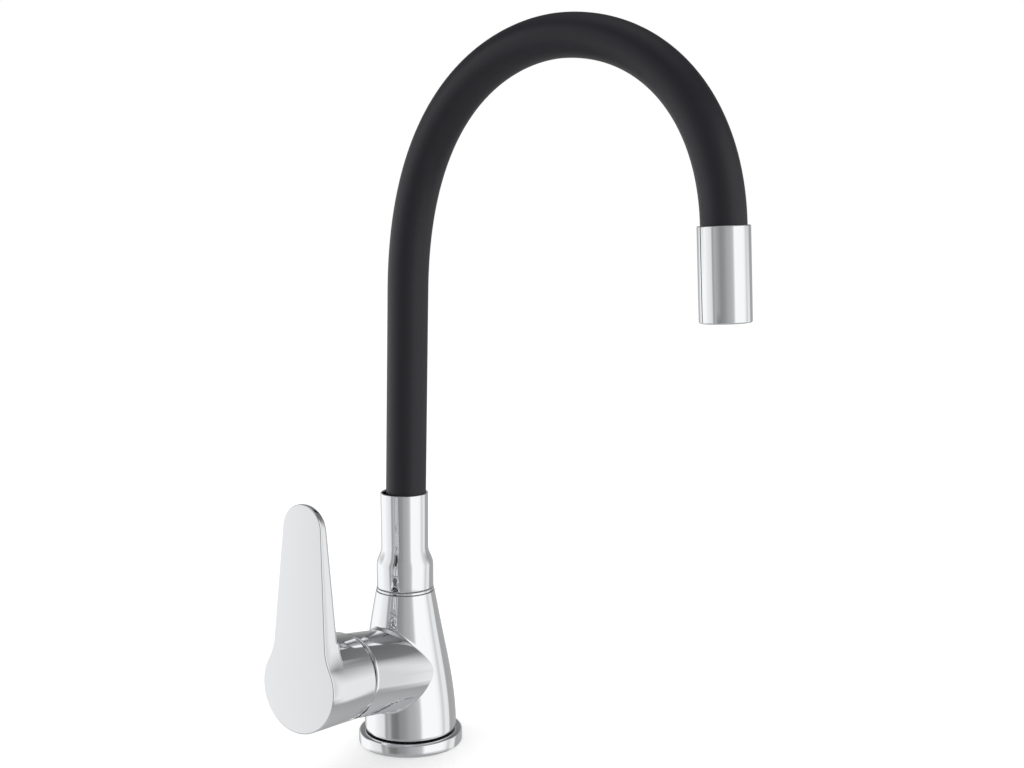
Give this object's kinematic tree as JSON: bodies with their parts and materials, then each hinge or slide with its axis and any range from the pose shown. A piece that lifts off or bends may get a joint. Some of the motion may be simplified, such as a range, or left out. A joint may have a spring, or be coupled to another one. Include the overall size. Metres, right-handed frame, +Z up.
{
  "type": "kitchen mixer tap",
  "caption": "Kitchen mixer tap with a bell-shaped chrome body, a front lever on a tilted branch and a high, bendable spout in a matte black sleeve with a chrome outlet.",
  "frame": {"origin": "centre of the base ring's underside, on the worktop", "axes": "+Z up, +X the way the spout reaches, -Y the way the lever faces"},
  "size_m": [0.2297, 0.1204, 0.3874],
  "materials": {
    "chrome": "mirror",
    "brass": "machined",
    "steel": "plain",
    "silicone": "matte",
    "rubber": "matte",
    "ceramic": "lapped",
    "acetal": "satin",
    "black_acetal": "satin"
  },
  "bodies": {
    "tap_body": {"body_casting": "chrome", "base_ring": "chrome", "base_gasket": "rubber", "cartridge_base": "acetal", "inlet_seal_left": "rubber", "inlet_seal_right": "rubber", "outlet_seal": "rubber", "fixed_disc": "ceramic", "cartridge_housing": "acetal", "cartridge_nut": "brass", "dome_cap": "chrome"},
    "cartridge_turning_part": {"cartridge_rotor": "acetal", "pivot_pin": "steel"},
    "sliding_disc": {"disc_carrier": "black_acetal", "moving_disc": "ceramic"},
    "lever": {"lever_handle": "chrome", "lever_spindle": "brass", "grub_screw": "steel"},
    "spout": {"swivel_washer": "acetal", "spout_ferrule": "chrome", "spout_nipple": "brass", "nipple_o_ring_lower": "rubber", "nipple_o_ring_upper": "rubber", "retaining_ring": "steel", "gooseneck_riser": "steel", "silicone_sleeve": "silicone", "inner_hose": "rubber"},
    "spout_link_1": {"gooseneck_link_1": "steel"},
    "spout_link_2": {"gooseneck_link_2": "steel"},
    "spout_link_3": {"gooseneck_link_3": "steel"},
    "spout_link_4": {"gooseneck_link_4": "steel"},
    "spout_link_5": {"gooseneck_link_5": "steel"},
    "outlet": {"gooseneck_tail": "steel", "hose_end_fitting": "brass", "outlet_shell": "chrome", "aerator_seal": "rubber", "aerator_housing": "black_acetal", "aerator_core": "acetal", "aerator_screen": "steel"}
  },
  "joints": [
    {"name": "temperature_turn", "type": "hinge", "parent": "tap_body", "child": "cartridge_turning_part", "pos_m": [0, -0.0535, 0.0513], "axis": [0, -0.9848, 0.1736], "range_deg": [-50, 50]},
    {"name": "lever_lift", "type": "hinge", "parent": "cartridge_turning_part", "child": "lever", "pos_m": [0, -0.0535, 0.0513], "axis": [1, 0, 0], "range_deg": [-20, 0]},
    {"name": "disc_slide", "type": "slide", "parent": "cartridge_turning_part", "child": "sliding_disc", "axis": [0, 0.1736, 0.9848], "range_m": [-0.0051, 0]},
    {"name": "spout_swivel", "type": "hinge", "parent": "tap_body", "child": "spout", "pos_m": [0, -0.0035, 0.088], "axis": [0, 0, 1], "continuous": true},
    {"name": "spout_bend_1", "type": "hinge", "parent": "spout", "child": "spout_link_1", "pos_m": [0.00332, -0.0035, 0.22569], "axis": [0, 1, 0], "range_deg": [-10, 5], "deforming": ["silicone_sleeve", "inner_hose"]},
    {"name": "spout_bend_2", "type": "hinge", "parent": "spout_link_1", "child": "spout_link_2", "pos_m": [0.00826, -0.0035, 0.28947], "axis": [0, 1, 0], "range_deg": [-10, 5]},
    {"name": "spout_bend_3", "type": "hinge", "parent": "spout_link_2", "child": "spout_link_3", "pos_m": [0.03554, -0.0035, 0.34665], "axis": [0, 1, 0], "range_deg": [-10, 5]},
    {"name": "spout_bend_4", "type": "hinge", "parent": "spout_link_3", "child": "spout_link_4", "pos_m": [0.09095, -0.0035, 0.37606], "axis": [0, 1, 0], "range_deg": [-10, 5]},
    {"name": "spout_bend_5", "type": "hinge", "parent": "spout_link_4", "child": "spout_link_5", "pos_m": [0.15157, -0.0035, 0.36052], "axis": [0, 1, 0], "range_deg": [-10, 5]},
    {"name": "spout_bend_6", "type": "hinge", "parent": "spout_link_5", "child": "outlet", "pos_m": [0.18435, -0.0035, 0.30711], "axis": [0, 1, 0], "range_deg": [-10, 5]}
  ],
  "couplings": [
    {"joint": "disc_slide", "follows": "lever_lift", "m_per_rad": 0.0145},
    {"joint": "spout_bend_2", "follows": "spout_bend_1", "ratio": 1},
    {"joint": "spout_bend_3", "follows": "spout_bend_1", "ratio": 1},
    {"joint": "spout_bend_4", "follows": "spout_bend_1", "ratio": 1},
    {"joint": "spout_bend_5", "follows": "spout_bend_1", "ratio": 1},
    {"joint": "spout_bend_6", "follows": "spout_bend_1", "ratio": 1}
  ]
}
